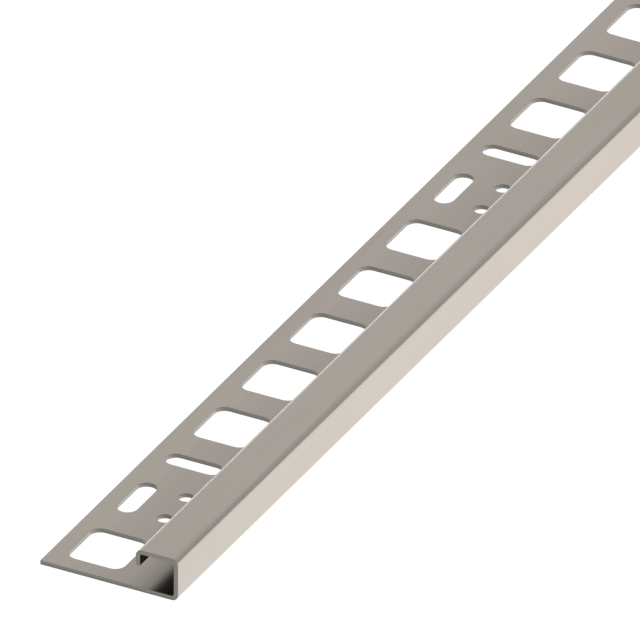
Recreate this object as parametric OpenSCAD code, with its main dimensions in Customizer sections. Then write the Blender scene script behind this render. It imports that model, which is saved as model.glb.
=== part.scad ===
// Square-edge tile trim: a strip of steel sheet, punched while flat and then folded lengthwise
// into a leg, a wall, a top and a short lip. It lies on its leg, with its length along Y and
// its finished edge at +X. The origin is under the middle, on the floor.

/* [Section] */
// Height of the finished edge above the floor
edge_height = 10; // [8:0.5:15]
// Width from the leg's free edge to the finished face
trim_width = 32.2; // [28:0.1:40]
// Width of the finished top, from the lip's outer face to the finished face
top_width = 9.9; // [8:0.1:12]
// Depth of the lip, from the finished top down to its lower edge
lip_depth = 3.8; // [2.5:0.1:5]
// Thickness of the sheet
sheet = 1; // [0.7:0.1:1.2]
// Radius on the inside of each fold
fold_inside = 0.5; // [0.3:0.1:0.8]

/* [Length] */
// Length of the stock
stock_length = 1000; // [250:10:3000]
// Least metal left between a hole and a cut end
end_web = 2.5; // [1:0.5:6]

/* [Windows] */
// Size of a window along the stock
window_along = 13.4; // [9:0.1:18]
// Size of a window across the leg
window_across = 12.9; // [10:0.1:16]
// Corner radius of a window
window_corner = 2.4; // [0.5:0.1:4]
// Windows in a row between two sets of slots
window_count = 5; // [1:1:9]
// Metal between a window and the hole next to it
window_bar = 7.85; // [4:0.05:14]
// Metal between the leg's free edge and every row of holes
edge_margin = 3.7; // [2:0.1:6]

/* [Slots and nail holes] */
// Width of both kinds of slot
slot_width = 4.5; // [3:0.1:6]
// End-to-end length of a slot that runs along the stock
slot_length = 12.8; // [9:0.1:18]
// Metal between a lengthwise slot and the crosswise slot after it
slot_bar = 8.6; // [4:0.1:14]
// Diameter of a nail hole
nail_hole = 3.3; // [2.5:0.1:4.5]

/* [Hidden] */
$fn = 48;
steel = [0.66, 0.63, 0.60];

// The section, with X from the leg's free edge and Y from the floor
fold_outside = fold_inside + sheet;
flat_leg = trim_width - fold_outside;
lip_face = trim_width - top_width;
fold_low = fold_outside;
fold_high = edge_height - fold_outside;

// The rows of holes across the leg, measured from its free edge
window_row = edge_margin + window_across / 2;
slot_row = edge_margin + slot_width / 2;
nail_row = edge_margin + window_across - nail_hole / 2;

// The run of holes along the stock, measured from the near end, which is cut midway through a bar
window_pitch = window_along + window_bar;
to_slot = (window_along + slot_length) / 2 + window_bar;
to_cross = (slot_length + slot_width) / 2 + slot_bar;
to_window = (slot_width + window_along) / 2 + window_bar;
repeat = to_slot + to_cross + to_window + (window_count - 1) * window_pitch;
repeats = ceil(stock_length / repeat);
nail_reach = (slot_length - nail_hole) / 2;

// The last window of each row, and the whole holes that the length has room for
row_ends = [for (i = [0 : repeats]) window_pitch / 2 + i * repeat];
windows = [for (y = row_ends, i = [0 : window_count - 1])
    if (is_whole(y - i * window_pitch, window_along)) y - i * window_pitch];
slots = [for (y = row_ends) if (is_whole(y + to_slot, slot_length)) y + to_slot];
cross_slots = [for (y = row_ends)
    if (is_whole(y + to_slot + to_cross, slot_width)) y + to_slot + to_cross];

function is_whole(middle, size) =
    middle - size / 2 >= end_web && middle + size / 2 <= stock_length - end_web;

// A rectangle about the origin with its four corners rounded
module rounded_window(size, corner) {
    inner = [size.x - 2 * corner, size.y - 2 * corner];
    square([size.x, inner.y], center = true);
    square([inner.x, size.y], center = true);
    for (x = [-1, 1], y = [-1, 1])
        translate([x * inner.x / 2, y * inner.y / 2]) circle(r = corner);
}

// A slot about the origin, round at both ends, running along Y
module long_slot(length, width) {
    square([width, length - width], center = true);
    for (y = [-1, 1])
        translate([0, y * (length - width) / 2]) circle(d = width);
}

// Every hole that is punched in the leg, from its free edge and near end
module punched_holes() {
    for (y = windows)
        translate([window_row, y])
            rounded_window([window_across, window_along], window_corner);
    for (y = slots) {
        translate([slot_row, y]) long_slot(slot_length, slot_width);
        for (side = [-1, 1])
            translate([nail_row, y + side * nail_reach]) circle(d = nail_hole);
    }
    for (y = cross_slots)
        translate([window_row, y]) rotate(90) long_slot(window_across, slot_width);
}

// A quarter turn of the sheet, about the origin and in the quadrant that starts at the given angle
module fold(start) {
    rotate(start) intersection() {
        difference() {
            circle(r = fold_outside);
            circle(r = fold_inside);
        }
        square(fold_outside);
    }
}

// The section past the flat leg: three folds with the wall, the top and the lip between them
module folded_edge() {
    translate([flat_leg, fold_low]) fold(270);
    translate([trim_width - sheet, fold_low]) square([sheet, fold_high - fold_low]);
    translate([flat_leg, fold_high]) fold(0);
    translate([lip_face + fold_outside, edge_height - sheet])
        square([top_width - 2 * fold_outside, sheet]);
    translate([lip_face + fold_outside, fold_high]) fold(90);
    translate([lip_face, edge_height - lip_depth]) square([sheet, lip_depth - fold_outside]);
}

// The whole trim, in one piece
module trim_profile() {
    color(steel) translate([-trim_width / 2, -stock_length / 2, 0]) {
        linear_extrude(sheet) difference() {
            square([flat_leg, stock_length]);
            punched_holes();
        }
        translate([0, stock_length, 0]) rotate([90, 0, 0])
            linear_extrude(stock_length) folded_edge();
    }
}

trim_profile();
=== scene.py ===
# %% [markdown]
# # Square-edge tile trim
# A tile edge trim is a strip of steel sheet that is punched flat and then folded lengthwise. Its
# perforated leg is bedded under the tiles, and its folded edge stays in sight beside the last tile.
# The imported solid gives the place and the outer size. This lesson makes the sheet again in the order
# of the workshop: punch, fold, thickness, finish. That order gives smooth folds, softened edges and
# a finish of its own for each side of the sheet, which a coat of paint on the solid could not.

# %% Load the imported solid
import itertools
import math
import bmesh
import bpy
from mathutils import Matrix, Vector


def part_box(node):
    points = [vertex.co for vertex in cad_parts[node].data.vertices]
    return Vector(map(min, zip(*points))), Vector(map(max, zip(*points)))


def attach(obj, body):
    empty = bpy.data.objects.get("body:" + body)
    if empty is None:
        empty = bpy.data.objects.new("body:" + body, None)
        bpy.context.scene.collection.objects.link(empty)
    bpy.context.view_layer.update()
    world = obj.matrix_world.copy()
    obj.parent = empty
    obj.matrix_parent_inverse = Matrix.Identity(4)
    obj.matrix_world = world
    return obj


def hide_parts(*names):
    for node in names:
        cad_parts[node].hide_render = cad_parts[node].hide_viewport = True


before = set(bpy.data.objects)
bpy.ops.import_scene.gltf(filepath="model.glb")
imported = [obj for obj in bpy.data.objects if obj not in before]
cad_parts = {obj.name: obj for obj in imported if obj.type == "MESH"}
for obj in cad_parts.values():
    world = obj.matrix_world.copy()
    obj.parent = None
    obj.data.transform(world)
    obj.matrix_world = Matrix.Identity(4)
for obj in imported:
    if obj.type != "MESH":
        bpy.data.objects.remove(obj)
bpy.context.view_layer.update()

MM = 0.001
low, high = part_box("trim_profile")
width, length, height = (high - low) / MM
print("solids in the frame:", list(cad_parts))
print(f"trim_profile: {width:.2f} x {length:.2f} x {height:.2f} mm")

# %% [markdown]
# ## Camera
# The photo has no vanishing point: edges that run side by side stay side by side. A perspective
# camera could come close from very far away, but an orthographic one is exactly such a parallel
# view, and one pixel has the same real size all over it. One corner of the leg is then enough to
# place the camera: it slides sideways until that corner falls on its pixel.

# %% Find the middle of the view
PICTURE_SIDE = 640
PIXEL = 0.20659 * MM
CORNER_PIXEL = (40.21, 564.34)
AZIMUTH = math.radians(27.855)
ELEVATION = math.radians(31.053)

back = Vector((math.sin(AZIMUTH) * math.cos(ELEVATION),
               -math.cos(AZIMUTH) * math.cos(ELEVATION),
               math.sin(ELEVATION)))
turn = (-back).to_track_quat("-Z", "Y")
rightward = turn @ Vector((1, 0, 0))
upward = turn @ Vector((0, 1, 0))
across = (CORNER_PIXEL[0] - PICTURE_SIDE / 2) * PIXEL
down = (CORNER_PIXEL[1] - PICTURE_SIDE / 2) * PIXEL
aim = low - rightward * across + upward * down
print("middle of the view:", [round(part / MM, 1) for part in aim], "mm")

# %% Place the camera
CAMERA_AWAY = 1.5
NEAREST, FARTHEST = 0.01, 20.0

camera_data = bpy.data.cameras.new("photo_camera")
camera_data.type = "ORTHO"
camera_data.ortho_scale = PICTURE_SIDE * PIXEL
camera_data.clip_start = NEAREST
camera_data.clip_end = FARTHEST
camera = bpy.data.objects.new("photo_camera", camera_data)
camera.location = aim + back * CAMERA_AWAY
camera.rotation_mode = "QUATERNION"
camera.rotation_quaternion = turn
bpy.context.scene.collection.objects.link(camera)
bpy.context.scene.camera = camera
print(f"camera: a view {camera_data.ortho_scale / MM:.1f} mm wide")

# %% [markdown]
# ## Holes of the leg
# The leg has windows that the adhesive keys through, slots for screws and small nail holes. They
# come in stations, one after the other along the strip. The tool punches a run of one slot, one
# crosswise slot and five windows over and over, and the saw cut this length midway through a bar,
# so the near end starts with the last window of a run. Writing down every place by hand would be
# long and easy to get wrong, so the stations are walked from the near end until the length is full.
# All sizes here are in millimetres, from the leg's free edge and from the near end.

# %% Rows across the leg
FOLD_OUTSIDE = 1.5
EDGE_MARGIN = 3.7
WINDOW = (12.9, 13.4)
SLOT_WIDTH = 4.5
SLOT_LENGTH = 12.8
NAIL_HOLE = 3.3

flat_leg = width - FOLD_OUTSIDE
window_row = EDGE_MARGIN + WINDOW[0] / 2
slot_row = EDGE_MARGIN + SLOT_WIDTH / 2
nail_row = EDGE_MARGIN + WINDOW[0] - NAIL_HOLE / 2
nail_reach = (SLOT_LENGTH - NAIL_HOLE) / 2
print(f"flat leg: {flat_leg:.2f} mm, with holes up to {EDGE_MARGIN + WINDOW[0]:.2f} mm from its free edge")

# %% Holes of one station
WINDOW_CORNER = 2.4


def window_holes(y):
    """A window, as its middle, its size and its corner radius."""
    return [((window_row, y), WINDOW, WINDOW_CORNER)]


def slot_holes(y):
    """A lengthwise slot, with a pair of nail holes beside it."""
    slot = ((slot_row, y), (SLOT_WIDTH, SLOT_LENGTH), SLOT_WIDTH / 2)
    nails = [((nail_row, y + reach), (NAIL_HOLE, NAIL_HOLE), NAIL_HOLE / 2)
             for reach in (-nail_reach, nail_reach)]
    return [slot, *nails]


def cross_slot_holes(y):
    """A slot that runs across the leg."""
    return [((window_row, y), (WINDOW[0], SLOT_WIDTH), SLOT_WIDTH / 2)]


print("holes at a lengthwise slot:", len(slot_holes(0)))

# %% One run of the tool
WINDOW_COUNT = 5
WINDOW_BAR = 7.85
SLOT_BAR = 8.6

window_step = (WINDOW[1], WINDOW_BAR, window_holes)
slot_step = (SLOT_LENGTH, SLOT_BAR, slot_holes)
cross_slot_step = (SLOT_WIDTH, WINDOW_BAR, cross_slot_holes)
punch_run = [slot_step, cross_slot_step] + [window_step] * WINDOW_COUNT
print(f"one run: {sum(size + bar for size, bar, _ in punch_run):.1f} mm")

# %% Walk the stations
END_WEB = 2.5


def walk_stations():
    """Every station that the length has room for: its start, its end and its holes."""
    found = []
    start = WINDOW_BAR / 2
    for size, bar, holes in itertools.chain([window_step], itertools.cycle(punch_run)):
        end = start + size
        if end > length - END_WEB:
            return found
        found.append((start, end, holes((start + end) / 2)))
        start = end + bar


stations = walk_stations()
hole_count = sum(len(holes) for _, _, holes in stations)
print(f"leg: {len(stations)} stations with {hole_count} holes")

# %% [markdown]
# ## Punching the strip
# On the real strip a press punches the leg while it is flat. A boolean could cut each hole out of a
# solid leg, but it leaves long slivers. Here the strip is filled between outlines. A hole's outline
# is a rectangle whose four corners are rounded by a vertex bevel, and a slot or a nail hole is the
# same with corners so large that they meet. Each station lies in a panel of its own, so the fill
# stays tidy, and the panels are then merged into one strip.

# %% Outline one hole
ROUND_STEPS = 8
MERGE = 0.0005
UNIT_HALF = 0.5


def outline(bm, middle, size, corner):
    """Edges of a flat rectangle with rounded corners, with nothing filled in."""
    verts = bmesh.ops.create_grid(bm, x_segments=1, y_segments=1, size=UNIT_HALF)["verts"]
    bmesh.ops.scale(bm, vec=(*size, 1), verts=verts)
    bmesh.ops.translate(bm, vec=(*middle, 0), verts=verts)
    if corner:
        verts = bmesh.ops.bevel(bm, geom=verts, offset=corner, offset_type="OFFSET", affect="VERTICES",
                                segments=ROUND_STEPS, profile=0.5, material=-1)["verts"]
    inside = list(dict.fromkeys(face for vert in verts for face in vert.link_faces))
    bmesh.ops.delete(bm, geom=inside, context="FACES_ONLY")
    bmesh.ops.remove_doubles(bm, verts=verts, dist=MERGE)
    left = [vert for vert in verts if vert.is_valid]
    return list(dict.fromkeys(edge for vert in left for edge in vert.link_edges))


sample = bmesh.new()
window_rim = outline(sample, (0, 0), WINDOW, WINDOW_CORNER)
rim_length = sum(edge.calc_length() for edge in window_rim)
print(f"a window's rim: {len(window_rim)} edges, {rim_length:.1f} mm round")
sample.free()

# %% Fill the leg between the holes
strip = bmesh.new()
panel_start = 0.0
for index, (start, end, holes) in enumerate(stations):
    is_last = index == len(stations) - 1
    panel_end = length if is_last else (end + stations[index + 1][0]) / 2
    panel = ((flat_leg / 2, (panel_start + panel_end) / 2), (flat_leg, panel_end - panel_start), 0)
    rims = [edge for hole in [panel, *holes] for edge in outline(strip, *hole)]
    bmesh.ops.triangle_fill(strip, use_beauty=True, edges=rims, normal=(0, 0, 1))
    panel_start = panel_end
bmesh.ops.remove_doubles(strip, verts=strip.verts[:], dist=MERGE)
leg_area = sum(face.calc_area() for face in strip.faces)
print(f"punched leg: {len(strip.faces)} faces, {leg_area / (flat_leg * length):.1%} of the metal is left")

# %% [markdown]
# ## Folding the edge
# A roll former bends the strip three times by a right angle, round a small radius, into the wall,
# the finished top and the lip. The section could be drawn as a curve and swept, but then the punched
# leg would have to be sewn to it. A spin of the leg's free edge about the fold's centre line is the
# same bend on the same sheet, and an extrusion is the flat run after it. What is made here is the
# sheet's outer side, so its normals are turned outwards now, before it gets a thickness.

# %% Bend and run on
FOLD_STEPS = 12
FOLD_AXIS = (0, -1, 0)


def edges_of(geometry):
    """The edges among mixed bmesh geometry."""
    return [part for part in geometry if isinstance(part, bmesh.types.BMEdge)]


def bend(bm, edges, heading):
    """Turns the free edge by a right angle, so that the sheet heads a new way."""
    centre = edges[0].verts[0].co + heading * FOLD_OUTSIDE
    spun = bmesh.ops.spin(bm, geom=edges, cent=centre, axis=FOLD_AXIS, dvec=(0, 0, 0),
                          angle=math.pi / 2, steps=FOLD_STEPS, use_merge=False, use_duplicate=False)
    return edges_of(spun["geom_last"])


def run_on(bm, edges, step):
    """Carries the free edge on in a straight line."""
    grown = bmesh.ops.extrude_edge_only(bm, edges=edges)["geom"]
    moved = {part for part in grown if isinstance(part, bmesh.types.BMVert)}
    bmesh.ops.translate(bm, vec=step, verts=list(moved))
    return [edge for edge in edges_of(grown) if moved.issuperset(edge.verts)]


print(f"one fold: {FOLD_OUTSIDE * math.pi / 2:.2f} mm round its outside, in {FOLD_STEPS} steps")

# %% Fold the wall, the top and the lip
UP = Vector((0, 0, 1))
LEFT = Vector((-1, 0, 0))
DOWN = Vector((0, 0, -1))
TOP_WIDTH = 9.9
LIP_DEPTH = 3.8

free_edges = [edge for edge in strip.edges
              if all(abs(vert.co.x - flat_leg) < MERGE for vert in edge.verts)]
for name, heading, flat in (("wall", UP, height - 2 * FOLD_OUTSIDE),
                            ("top", LEFT, TOP_WIDTH - 2 * FOLD_OUTSIDE),
                            ("lip", DOWN, LIP_DEPTH - FOLD_OUTSIDE)):
    free_edges = bend(strip, free_edges, heading)
    free_edges = run_on(strip, free_edges, heading * flat)
    print(f"{name}: {flat:.2f} mm flat, ends {free_edges[0].verts[0].co.z:.2f} mm above the floor")

# %% Turn the outer side outwards
bmesh.ops.remove_doubles(strip, verts=strip.verts[:], dist=MERGE)
bmesh.ops.recalc_face_normals(strip, faces=strip.faces[:])
leg_faces = [face for face in strip.faces if face.calc_center_median().z < MERGE]
if sum(face.normal.z * face.calc_area() for face in leg_faces) > 0:
    bmesh.ops.reverse_faces(strip, faces=strip.faces[:])
print(f"folded strip: {len(strip.faces)} faces, {len(leg_faces)} of them in the leg's underside")

# %% Lay the strip in the frame
bmesh.ops.transform(strip, matrix=Matrix.Translation(low) @ Matrix.Scale(MM, 4), verts=strip.verts[:])
for face in strip.faces:
    face.smooth = True
trim_mesh = bpy.data.meshes.new("trim_strip")
strip.to_mesh(trim_mesh)
strip.free()
trim = bpy.data.objects.new("trim_strip", trim_mesh)
bpy.context.scene.collection.objects.link(trim)
print("trim_strip:", len(trim_mesh.vertices), "vertices")

# %% [markdown]
# ## Thickness and edges
# The sheet is 1 mm thick. The inner side could be folded as a second strip, but Solidify grows it
# from the outer side at an even distance, and can give the inner side and the cut edges materials
# of their own. A punch and a saw leave edges that are a little round, which a very small bevel
# copies. Weighted normals then keep the flats flat beside the folds.

# %% Thicken the sheet
SHEET = 1.0
OUTER, INNER, CUT = 0, 1, 2

thickness = trim.modifiers.new("sheet", "SOLIDIFY")
thickness.thickness = SHEET * MM
thickness.offset = -1
thickness.use_even_offset = True
thickness.material_offset = INNER - OUTER
thickness.material_offset_rim = CUT - OUTER
print(f"sheet: {thickness.thickness / MM:.2f} mm thick")

# %% Soften the edges and measure the sheet
EDGE_ROUND = 0.05
EDGE_STEPS = 2
EDGE_ANGLE = math.radians(50)
FLAT_WEIGHT = 100

rounding = trim.modifiers.new("round_edges", "BEVEL")
rounding.width = EDGE_ROUND * MM
rounding.segments = EDGE_STEPS
rounding.limit_method = "ANGLE"
rounding.angle_limit = EDGE_ANGLE
rounding.material = CUT
flats = trim.modifiers.new("flat_faces", "WEIGHTED_NORMAL")
flats.weight = FLAT_WEIGHT

sample = bmesh.new()
sample.from_object(trim, bpy.context.evaluated_depsgraph_get())
open_edges = sum(not edge.is_manifold for edge in sample.edges)
volume = sample.calc_volume() / MM ** 3
print(f"trim: {len(sample.faces)} faces, {open_edges} open edges, {volume:.0f} cubic mm")
sample.free()

# %% [markdown]
# ## Rolled grain and clouding
# Rolled and brushed steel shows two things: very fine lines along the strip, and soft clouds a few
# centimetres wide. A picture of steel could be wrapped round the trim, but it would blur close up.
# Noise that is stretched along Y gives the lines at any distance, and plain noise the clouds. More
# than one finish below needs them, so each is a node group with its own input.

# %% Node group for fine lines
FLOAT, VECTOR, COLOUR = "NodeSocketFloat", "NodeSocketVector", "NodeSocketColor"
LINE_DETAIL = 4.0
LINE_BREAKUP = 0.6


def new_group(name, inputs, outputs):
    """A shader node group with named sockets, as itself, what comes in and what goes out."""
    group = bpy.data.node_groups.new(name, "ShaderNodeTree")
    for way, sockets in (("INPUT", inputs), ("OUTPUT", outputs)):
        for socket, kind in sockets.items():
            group.interface.new_socket(socket, in_out=way, socket_type=kind)
    entry = group.nodes.new("NodeGroupInput").outputs
    result = group.nodes.new("NodeGroupOutput").inputs
    return group, entry, result


def feed(tree, socket, value):
    """Gives an input a value, or links it where the value is another node's output."""
    if isinstance(value, bpy.types.NodeSocket):
        tree.links.new(value, socket)
    else:
        socket.default_value = value


fine_lines, entry, result = new_group("fine_lines", {"Lines per Metre": VECTOR}, {"Lines": FLOAT})
stretch = fine_lines.nodes.new("ShaderNodeVectorMath")
stretch.operation = "MULTIPLY"
feed(fine_lines, stretch.inputs[0], fine_lines.nodes.new("ShaderNodeTexCoord").outputs["Object"])
feed(fine_lines, stretch.inputs[1], entry["Lines per Metre"])
noise = fine_lines.nodes.new("ShaderNodeTexNoise")
feed(fine_lines, noise.inputs["Vector"], stretch.outputs["Vector"])
feed(fine_lines, noise.inputs["Scale"], 1.0)
feed(fine_lines, noise.inputs["Detail"], LINE_DETAIL)
feed(fine_lines, noise.inputs["Roughness"], LINE_BREAKUP)
feed(fine_lines, result["Lines"], noise.outputs["Fac"])
print("group fine_lines:", len(fine_lines.nodes), "nodes")

# %% Node group for soft clouds
CLOUD_DETAIL = 2.0

soft_clouds, entry, result = new_group("soft_clouds", {"Clouds per Metre": FLOAT}, {"Cloud": FLOAT})
noise = soft_clouds.nodes.new("ShaderNodeTexNoise")
feed(soft_clouds, noise.inputs["Vector"], soft_clouds.nodes.new("ShaderNodeTexCoord").outputs["Object"])
feed(soft_clouds, noise.inputs["Scale"], entry["Clouds per Metre"])
feed(soft_clouds, noise.inputs["Detail"], CLOUD_DETAIL)
feed(soft_clouds, result["Cloud"], noise.outputs["Fac"])
print("group soft_clouds:", len(soft_clouds.nodes), "nodes")

# %% [markdown]
# ## Satin finish
# Both sides of the sheet come satin from the rolls. The lines change its tint and its gloss a little,
# both from the same noise, as real grain does, and the clouds change the tint over a longer way. Each
# side could get nodes of its own for this, but a change to one would then be forgotten in the other.
# So the finish is a node group as well, and takes the two tints and the two degrees of gloss that it
# goes between.

# %% Tone of the satin finish
GRAIN = (1500, 10, 1500)
CLOUDS = 25
TONE_LOW, TONE_HIGH = 0.7, 1.3


def place_group(tree, group, values):
    """Places a node group in a tree and feeds its inputs by name."""
    node = tree.nodes.new("ShaderNodeGroup")
    node.node_tree = group
    for name, value in values.items():
        feed(tree, node.inputs[name], value)
    return node.outputs


def combine(tree, operation, first, second=0.0):
    """One step of arithmetic on one or two values."""
    node = tree.nodes.new("ShaderNodeMath")
    node.operation = operation
    feed(tree, node.inputs[0], first)
    feed(tree, node.inputs[1], second)
    return node.outputs["Value"]


def ramp(tree, value, start, stop, first=0.0, last=1.0):
    """A value that goes evenly from the first to the last while its source goes from start to stop."""
    node = tree.nodes.new("ShaderNodeMapRange")
    names = ("Value", "From Min", "From Max", "To Min", "To Max")
    for name, setting in zip(names, (value, start, stop, first, last)):
        feed(tree, node.inputs[name], setting)
    return node.outputs["Result"]


satin_grain, entry, result = new_group(
    "satin_grain",
    {"Dark": COLOUR, "Light": COLOUR, "Smoothest": FLOAT, "Roughest": FLOAT},
    {"Colour": COLOUR, "Roughness": FLOAT, "Lines": FLOAT})
lines = place_group(satin_grain, fine_lines, {"Lines per Metre": GRAIN})["Lines"]
cloud = place_group(satin_grain, soft_clouds, {"Clouds per Metre": CLOUDS})["Cloud"]
tone = ramp(satin_grain, combine(satin_grain, "ADD", lines, cloud), TONE_LOW, TONE_HIGH)
print("group satin_grain: takes", [socket.name for socket in entry if socket.name])

# %% Colour and gloss of the satin finish
NOISE_LOW, NOISE_HIGH = 0.3, 0.7
# A Mix node has sockets of the same name for each kind of data, so its colours go by number.
COLOUR_A, COLOUR_B, COLOUR_OUT = 6, 7, 2


def blend(tree, factor, first, second):
    """A colour that goes from the first to the second with the factor."""
    node = tree.nodes.new("ShaderNodeMix")
    node.data_type = "RGBA"
    feed(tree, node.inputs["Factor"], factor)
    feed(tree, node.inputs[COLOUR_A], first)
    feed(tree, node.inputs[COLOUR_B], second)
    return node.outputs[COLOUR_OUT]


gloss = ramp(satin_grain, lines, NOISE_LOW, NOISE_HIGH, entry["Smoothest"], entry["Roughest"])
feed(satin_grain, result["Colour"], blend(satin_grain, tone, entry["Dark"], entry["Light"]))
feed(satin_grain, result["Roughness"], gloss)
feed(satin_grain, result["Lines"], lines)
print("group satin_grain:", len(satin_grain.nodes), "nodes")

# %% [markdown]
# ## Outer side
# The outer side is what stays in sight: satin stainless steel, a warm grey. A grey paint would look
# flat on it, because metal has no colour of its own apart from how it tints what it mirrors. So
# Metallic is 1 and the base colour is that tint. The lines could be grooves in the mesh, but they are
# far too fine, so a bump only tilts the light on them.

# %% Outer finish
GRAIN_STRENGTH, GRAIN_DEPTH = 0.03, 0.02
OUTER_DARK = (0.578, 0.522, 0.469, 1)
OUTER_LIGHT = (0.620, 0.560, 0.503, 1)
OUTER_GLOSS = (0.22, 0.28)


def new_metal(name):
    """A metal in the trim's next material slot, as its node tree and its shader's inputs."""
    material = bpy.data.materials.new(name)
    material.use_nodes = True
    trim_mesh.materials.append(material)
    shader = material.node_tree.nodes["Principled BSDF"].inputs
    shader["Metallic"].default_value = 1.0
    return material.node_tree, shader


def raise_lines(tree, shader, lines, strength, depth):
    """Lifts the lines a little, through a bump on the shader's normal."""
    bump = tree.nodes.new("ShaderNodeBump")
    feed(tree, bump.inputs["Strength"], strength)
    feed(tree, bump.inputs["Distance"], depth * MM)
    feed(tree, bump.inputs["Height"], lines)
    feed(tree, shader["Normal"], bump.outputs["Normal"])


def satin_side(name, dark, light, gloss):
    """A metal with the satin finish, as its node tree, its shader's inputs and its colour."""
    tree, shader = new_metal(name)
    finish = place_group(tree, satin_grain, {"Dark": dark, "Light": light,
                                             "Smoothest": gloss[0], "Roughest": gloss[1]})
    feed(tree, shader["Roughness"], finish["Roughness"])
    raise_lines(tree, shader, finish["Lines"], GRAIN_STRENGTH, GRAIN_DEPTH)
    return tree, shader, finish["Colour"]


outer_tree, outer_shader, outer_colour = satin_side("satin_outer_side", OUTER_DARK, OUTER_LIGHT, OUTER_GLOSS)
feed(outer_tree, outer_shader["Base Color"], outer_colour)
print("slot", OUTER, "is", trim_mesh.materials[OUTER].name)

# %% [markdown]
# ## Inner side
# The inner side is the face of the leg under the tile and the inside of the channel. It is the same
# sheet but less finished, so it is a shade duller. Over it lies painted shade: a near-black colour,
# faint over the leg and deep in the corner of the channel, where the folded edge keeps the light out.
# A colour ramp across the trim sets how deep it is at a few places, and evens it out between them.
# A second ramp ends the painted shade just above the leg's inner face.

# %% Inner finish with painted shade that deepens towards the corner
INNER_DARK = (0.557, 0.506, 0.455, 1)
INNER_LIGHT = (0.596, 0.543, 0.488, 1)
INNER_GLOSS = (0.24, 0.31)
# The colour here and the stops below are painted shade for the channel's corner and the leg beside the lip.
PAINTED_SHADE_COLOUR = (0.036, 0.034, 0.030, 1)
PAINTED_SHADE_STOPS = ((5, 0.0), (20, 0.16), (25, 0.42), (27, 0.88), (28, 0.97))
PAINTED_SHADE_LIFT = 0.5


def parts(tree, vector):
    """The X, Y and Z of a vector."""
    node = tree.nodes.new("ShaderNodeSeparateXYZ")
    feed(tree, node.inputs["Vector"], vector)
    return node.outputs


inner_tree, inner_shader, inner_colour = satin_side("satin_inner_side", INNER_DARK, INNER_LIGHT, INNER_GLOSS)
place = parts(inner_tree, inner_tree.nodes.new("ShaderNodeTexCoord").outputs["Object"])
shade_across = inner_tree.nodes.new("ShaderNodeValToRGB")
feed(inner_tree, shade_across.inputs["Fac"], ramp(inner_tree, place["X"], low.x, high.x))
for x, share in PAINTED_SHADE_STOPS:
    shade_across.color_ramp.elements.new(x / width).color = (share, share, share, 1)
shade_upward = ramp(inner_tree, place["Z"], SHEET * MM, (SHEET + PAINTED_SHADE_LIFT) * MM, 1.0, 0.0)
# Painted shade, deepest in the channel's corner and gone just above the leg's inner face.
painted_shade = combine(inner_tree, "MULTIPLY", shade_across.outputs["Color"], shade_upward)
feed(inner_tree, inner_shader["Base Color"], blend(inner_tree, painted_shade, inner_colour, PAINTED_SHADE_COLOUR))
print("slot", INNER, "is", trim_mesh.materials[INNER].name)

# %% [markdown]
# ## Cut edges
# The walls of the holes and the two cut ends are bare metal, with fine lines through the thickness.
# Walls that face along the strip get a dark colour, which is painted shade, and a rougher gloss.
# Walls that face across it get a light colour, which is painted light. The lower part of the
# thickness breaks away instead of being cut, so on the darker walls it is darker still. Two materials
# could do this, but on a round hole one kind turns gradually into the other. So one material looks
# at the way that the wall faces, and at the height above the floor.

# %% Which way a wall faces, and where it broke
CUT_LINES = (7000, 7000, 500)
FACING_JITTER = (0.9, 1.1)
TEAR_LOW, TEAR_HIGH = 0.3, 0.9

cut_tree, cut_shader = new_metal("cut_edge")
cut_lines = place_group(cut_tree, fine_lines, {"Lines per Metre": CUT_LINES})["Lines"]
facing = parts(cut_tree, cut_tree.nodes.new("ShaderNodeNewGeometry").outputs["Normal"])
# The way a wall faces sets its painted shade. Walls facing along the strip are shaded, with a little noise,
# and they are rougher too.
faces_along_y = combine(cut_tree, "ABSOLUTE", facing["Y"])
line_jitter = ramp(cut_tree, cut_lines, NOISE_LOW, NOISE_HIGH, *FACING_JITTER)
shaded_and_rough_facing = combine(cut_tree, "MULTIPLY", faces_along_y, line_jitter)
place = parts(cut_tree, cut_tree.nodes.new("ShaderNodeTexCoord").outputs["Object"])
clean_cut = ramp(cut_tree, place["Z"], TEAR_LOW * MM, TEAR_HIGH * MM)
print("slot", CUT, "is", trim_mesh.materials[CUT].name)

# %% Cut finish
# Painted light and shade: the first colour lights the walls that face across the strip, and the next two
# shade the walls that face along it, the last of them on its torn lower part.
PAINTED_LIT_CUT = (0.440, 0.414, 0.373, 1)
PAINTED_SHADED_CUT = (0.265, 0.252, 0.225, 1)
PAINTED_SHADED_TORN_CUT = (0.215, 0.206, 0.189, 1)
CUT_GLOSS = (0.35, 0.6)
CUT_STRENGTH, CUT_DEPTH = 0.15, 0.03

painted_shaded_cut_colour = blend(cut_tree, clean_cut, PAINTED_SHADED_TORN_CUT, PAINTED_SHADED_CUT)
feed(cut_tree, cut_shader["Base Color"], blend(cut_tree, shaded_and_rough_facing, PAINTED_LIT_CUT, painted_shaded_cut_colour))
feed(cut_tree, cut_shader["Roughness"], ramp(cut_tree, shaded_and_rough_facing, 0.0, 1.0, *CUT_GLOSS))
raise_lines(cut_tree, cut_shader, cut_lines, CUT_STRENGTH, CUT_DEPTH)
print("cut_edge:", len(cut_tree.nodes), "nodes")

# %% [markdown]
# ## Floor
# The trim lies on a white studio floor. A floor that is only lit from above would be grey under the
# trim and would put a dark line along its foot. A light table has no such shadow, so nearly all the
# light of this floor is its own. The finished face mirrors it, which is why that face is so bright.

# %% Lay the floor
FLOOR_HALF = 8.0

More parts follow.
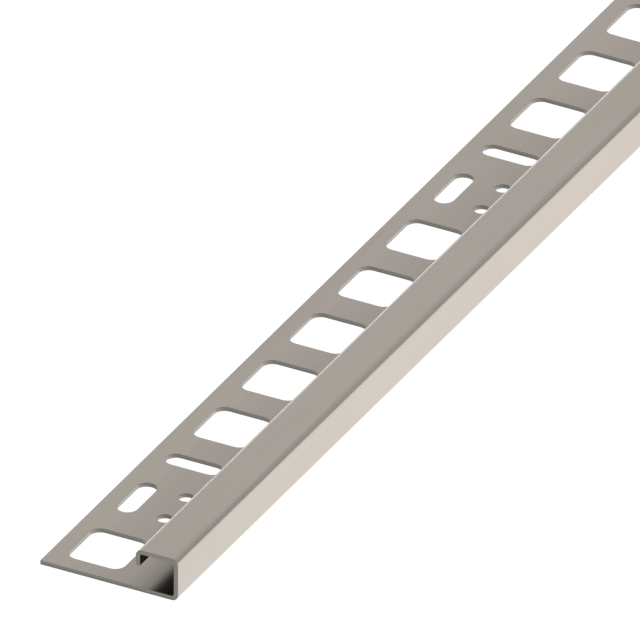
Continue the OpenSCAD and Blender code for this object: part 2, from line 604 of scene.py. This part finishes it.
grid = bmesh.new()
bmesh.ops.create_grid(grid, x_segments=1, y_segments=1, size=FLOOR_HALF)
floor_mesh = bpy.data.meshes.new("studio_floor")
grid.to_mesh(floor_mesh)
grid.free()
floor = bpy.data.objects.new("studio_floor", floor_mesh)
bpy.context.scene.collection.objects.link(floor)
print(f"floor: {2 * FLOOR_HALF:.0f} m square")

# %% Light the floor from within
WHITE = (1, 1, 1, 1)
FLOOR_GREY = (0.1, 0.1, 0.1, 1)
FLOOR_ROUGHNESS = 0.9
FLOOR_GLOW = 1.01

table = bpy.data.materials.new("light_table")
table.use_nodes = True
floor_mesh.materials.append(table)
table_shader = table.node_tree.nodes["Principled BSDF"].inputs
table_shader["Base Color"].default_value = FLOOR_GREY
table_shader["Roughness"].default_value = FLOOR_ROUGHNESS
table_shader["Specular IOR Level"].default_value = 0.0
table_shader["Emission Color"].default_value = WHITE
table_shader["Emission Strength"].default_value = FLOOR_GLOW
print(f"light_table: glows at {FLOOR_GLOW}, and gives back {FLOOR_GREY[0]:.0%} of other light")

# %% [markdown]
# ## Sky and softboxes
# Metal shows what it mirrors, so the light is built for the mirror directions. A few bright lamps
# could light the trim, but each would show in it as a spot. Here the leg and the top mirror the sky
# at the back left, half-way up: a plain grey there gives them their even tone. Over the finished face
# the sky gets darker, which draws the dark band along the fold. A wide, weak softbox helps from
# above, and a low strip at the back left draws the bright line along the fold over the lip.

# %% Sky that slopes from light to dark
SKY_LEVEL = 0.531
SKY_TILT = (-0.165, 0.0, 0.072)

world = bpy.data.worlds.new("studio")
bpy.context.scene.world = world
world.use_nodes = True
sky = world.node_tree
slope = sky.nodes.new("ShaderNodeVectorMath")
slope.operation = "DOT_PRODUCT"
feed(sky, slope.inputs[0], sky.nodes.new("ShaderNodeTexCoord").outputs["Generated"])
feed(sky, slope.inputs[1], SKY_TILT)
background = sky.nodes["Background"].inputs
feed(sky, background["Color"], WHITE)
feed(sky, background["Strength"], combine(sky, "ADD", slope.outputs["Value"], SKY_LEVEL))
print(f"sky: {SKY_LEVEL + SKY_TILT[2]:.2f} overhead, {SKY_LEVEL + SKY_TILT[0]:.2f} beside the finished face")

# %% Softboxes
def softbox(name, place, towards, size, radiance):
    """A rectangular soft light of even brightness, at a place and facing a point."""
    data = bpy.data.lights.new(name, "AREA")
    data.shape = "RECTANGLE"
    data.size, data.size_y = size
    data.energy = radiance * math.pi * size[0] * size[1]
    light = bpy.data.objects.new(name, data)
    light.location = place
    light.rotation_mode = "QUATERNION"
    light.rotation_quaternion = (Vector(place) - Vector(towards)).to_track_quat("Z", "Y")
    bpy.context.scene.collection.objects.link(light)
    print(f"{name}: {size[0]} x {size[1]} m, {data.energy:.1f} W")


softbox("key_softbox", place=(0.7, -0.3, 2.2), towards=(0, 0, 0), size=(2.0, 2.6), radiance=0.5)
softbox("strip_light", place=(-1.7, 2.0, 0.12), towards=(0, 0, 0.06), size=(2.4, 0.24), radiance=1.3)
bpy.context.scene.view_settings.view_transform = "Standard"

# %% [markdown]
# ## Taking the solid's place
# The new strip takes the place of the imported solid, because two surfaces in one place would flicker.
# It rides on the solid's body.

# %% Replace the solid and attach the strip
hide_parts("trim_profile")
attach(trim, "root")
